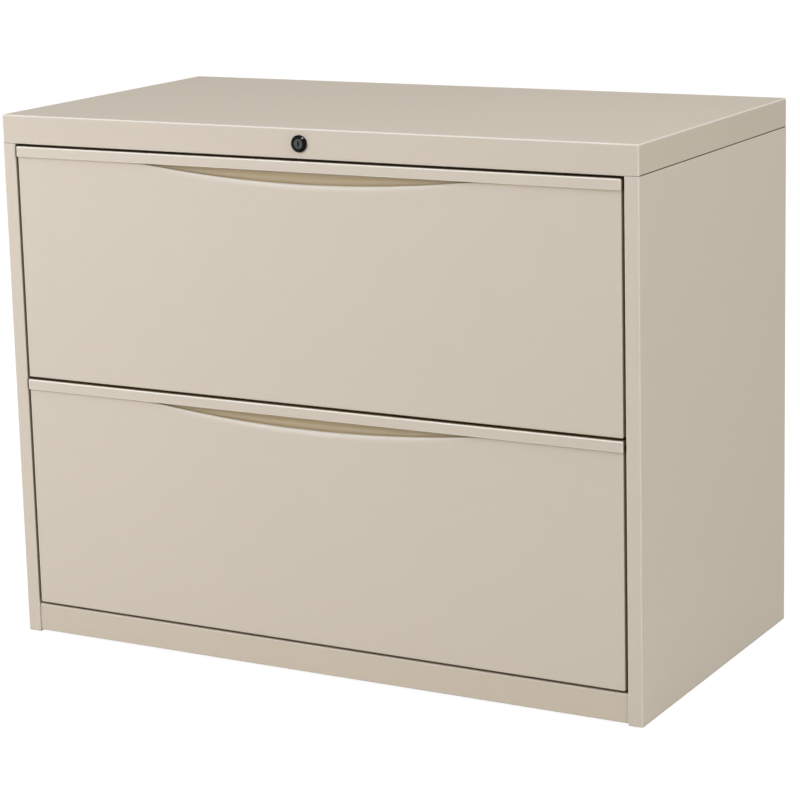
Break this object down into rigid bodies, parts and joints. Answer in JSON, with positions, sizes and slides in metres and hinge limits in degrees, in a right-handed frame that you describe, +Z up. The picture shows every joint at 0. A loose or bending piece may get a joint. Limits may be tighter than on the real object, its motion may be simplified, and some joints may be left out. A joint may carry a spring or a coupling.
{
  "type": "lateral filing cabinet",
  "caption": "Low wide steel filing cabinet with stacked pull-out file drawers on ball slides, crescent finger pulls, a central lock in the top's skirt and levelling feet.",
  "frame": {"origin": "on the floor, under the middle of the whole object's box", "axes": "+X to the cabinet's right as its front is faced, -Y out of the drawer fronts, +Z up"},
  "size_m": [0.9144, 0.4798, 0.7112],
  "materials": {
    "putty_paint": "fine satin powder coat, putty",
    "putty_drawer_body": "thin satin powder coat, putty, on the drawer bodies",
    "putty_frame": "thin powder coat, putty, on the inner frame",
    "black_lock_bezel": "glossy black on die-cast zinc",
    "lock_plug_face": "satin black on die-cast zinc",
    "zinc_slide": "bright zinc plate on cold-rolled steel",
    "zinc_hardware": "zinc plate, slightly dull",
    "guide_nylon": "natural nylon",
    "glide_foot": "black oxide steel foot and stem",
    "raw_casting": "dipped black, slightly rough"
  },
  "bodies": {
    "case": {"back_panel": "putty_paint", "base_front_rail": "putty_paint", "base_rear_rail": "putty_frame", "case_screws": "zinc_hardware", "counterweight": "raw_casting", "glide_nuts": "zinc_hardware", "header_rail": "putty_frame", "left_base_channel": "putty_frame", "left_rear_upright": "putty_frame", "left_side_panel": "putty_paint", "lock_guides": "guide_nylon", "lock_housing": "black_lock_bezel", "lock_nut": "zinc_hardware", "lower_left_slide_channel": "zinc_slide", "lower_right_slide_channel": "zinc_slide", "right_base_channel": "putty_frame", "right_rear_upright": "putty_frame", "right_side_panel": "putty_paint", "top_cover": "putty_paint", "upper_left_slide_channel": "zinc_slide", "upper_right_slide_channel": "zinc_slide"},
    "front_left_glide": {"front_left_glide": "glide_foot"},
    "front_right_glide": {"front_right_glide": "glide_foot"},
    "bell_crank": {"lock_bell_crank": "zinc_hardware"},
    "lock_cylinder": {"lock_cam": "zinc_hardware", "lock_plug": "lock_plug_face"},
    "lift_rod": {"lock_rod": "zinc_hardware"},
    "slide_bar": {"lock_slide_bar": "zinc_hardware"},
    "lower_drawer": {"lower_drawer_back": "putty_drawer_body", "lower_drawer_bottom": "putty_drawer_body", "lower_drawer_front": "putty_paint", "lower_drawer_left_side": "putty_drawer_body", "lower_drawer_right_side": "putty_drawer_body", "lower_front_liner": "putty_drawer_body", "lower_left_runner": "zinc_slide", "lower_pull_strip": "putty_paint", "lower_right_runner": "zinc_slide"},
    "lower_rail": {"lower_hang_rail": "zinc_hardware"},
    "lower_inner_cages": {"lower_inner_ball_cages": "zinc_slide"},
    "lower_middle_slides": {"lower_left_middle_slide": "zinc_slide", "lower_right_middle_slide": "zinc_slide"},
    "lower_outer_cages": {"lower_outer_ball_cages": "zinc_slide"},
    "rear_left_glide": {"rear_left_glide": "glide_foot"},
    "rear_right_glide": {"rear_right_glide": "glide_foot"},
    "upper_drawer": {"upper_drawer_back": "putty_drawer_body", "upper_drawer_bottom": "putty_drawer_body", "upper_drawer_front": "putty_paint", "upper_drawer_left_side": "putty_drawer_body", "upper_drawer_right_side": "putty_drawer_body", "upper_front_liner": "putty_drawer_body", "upper_left_runner": "zinc_slide", "upper_pull_strip": "putty_paint", "upper_right_runner": "zinc_slide"},
    "upper_rail": {"upper_hang_rail": "zinc_hardware"},
    "upper_inner_cages": {"upper_inner_ball_cages": "zinc_slide"},
    "upper_middle_slides": {"upper_left_middle_slide": "zinc_slide", "upper_right_middle_slide": "zinc_slide"},
    "upper_outer_cages": {"upper_outer_ball_cages": "zinc_slide"}
  },
  "joints": [
    {"name": "lower_drawer_slide", "type": "slide", "parent": "case", "child": "lower_drawer", "axis": [0, -1, 0], "range_m": [0, 0.39]},
    {"name": "lower_middle_slides_slide", "type": "slide", "parent": "case", "child": "lower_middle_slides", "axis": [0, -1, 0], "range_m": [0, 0.1955]},
    {"name": "lower_outer_cages_slide", "type": "slide", "parent": "case", "child": "lower_outer_cages", "axis": [0, -1, 0], "range_m": [0, 0.098]},
    {"name": "lower_inner_cages_slide", "type": "slide", "parent": "case", "child": "lower_inner_cages", "axis": [0, -1, 0], "range_m": [0, 0.293]},
    {"name": "lower_rail_lift", "type": "slide", "parent": "lower_drawer", "child": "lower_rail", "axis": [0, 0, 1], "range_m": [0, 0.025]},
    {"name": "upper_drawer_slide", "type": "slide", "parent": "case", "child": "upper_drawer", "axis": [0, -1, 0], "range_m": [0, 0.39]},
    {"name": "upper_middle_slides_slide", "type": "slide", "parent": "case", "child": "upper_middle_slides", "axis": [0, -1, 0], "range_m": [0, 0.1955]},
    {"name": "upper_outer_cages_slide", "type": "slide", "parent": "case", "child": "upper_outer_cages", "axis": [0, -1, 0], "range_m": [0, 0.098]},
    {"name": "upper_inner_cages_slide", "type": "slide", "parent": "case", "child": "upper_inner_cages", "axis": [0, -1, 0], "range_m": [0, 0.293]},
    {"name": "upper_rail_lift", "type": "slide", "parent": "upper_drawer", "child": "upper_rail", "axis": [0, 0, 1], "range_m": [0, 0.025]},
    {"name": "lock_turn", "type": "hinge", "parent": "case", "child": "lock_cylinder", "pos_m": [0, -0.2354, 0.69215], "axis": [0, 1, 0], "range_deg": [0, 90]},
    {"name": "slide_bar_slide", "type": "slide", "parent": "case", "child": "slide_bar", "axis": [-1, 0, 0], "range_m": [0, 0.01414]},
    {"name": "bell_crank_turn", "type": "hinge", "parent": "case", "child": "bell_crank", "pos_m": [0.43014, -0.2069, 0.6581], "axis": [0, -1, 0], "range_deg": [0, 31.76]},
    {"name": "lift_rod_slide", "type": "slide", "parent": "case", "child": "lift_rod", "axis": [0, 0, 1], "range_m": [0, 0.00989]},
    {"name": "front_left_glide_screw", "type": "slide", "parent": "case", "child": "front_left_glide", "axis": [0, 0, -1], "range_m": [0, 0.0127]},
    {"name": "front_right_glide_screw", "type": "slide", "parent": "case", "child": "front_right_glide", "axis": [0, 0, -1], "range_m": [0, 0.0127]},
    {"name": "rear_left_glide_screw", "type": "slide", "parent": "case", "child": "rear_left_glide", "axis": [0, 0, -1], "range_m": [0, 0.0127]},
    {"name": "rear_right_glide_screw", "type": "slide", "parent": "case", "child": "rear_right_glide", "axis": [0, 0, -1], "range_m": [0, 0.0127]}
  ],
  "couplings": [
    {"joint": "lower_middle_slides_slide", "follows": "lower_drawer_slide", "ratio": 0.5},
    {"joint": "lower_outer_cages_slide", "follows": "lower_drawer_slide", "ratio": 0.25},
    {"joint": "lower_inner_cages_slide", "follows": "lower_drawer_slide", "ratio": 0.75},
    {"joint": "upper_middle_slides_slide", "follows": "upper_drawer_slide", "ratio": 0.5},
    {"joint": "upper_outer_cages_slide", "follows": "upper_drawer_slide", "ratio": 0.25},
    {"joint": "upper_inner_cages_slide", "follows": "upper_drawer_slide", "ratio": 0.75},
    {"joint": "lock_turn", "follows": "slide_bar_slide", "rad_per_m": 111.07},
    {"joint": "bell_crank_turn", "follows": "slide_bar_slide", "rad_per_m": 38.953},
    {"joint": "lift_rod_slide", "follows": "slide_bar_slide", "ratio": 0.69231}
  ]
}
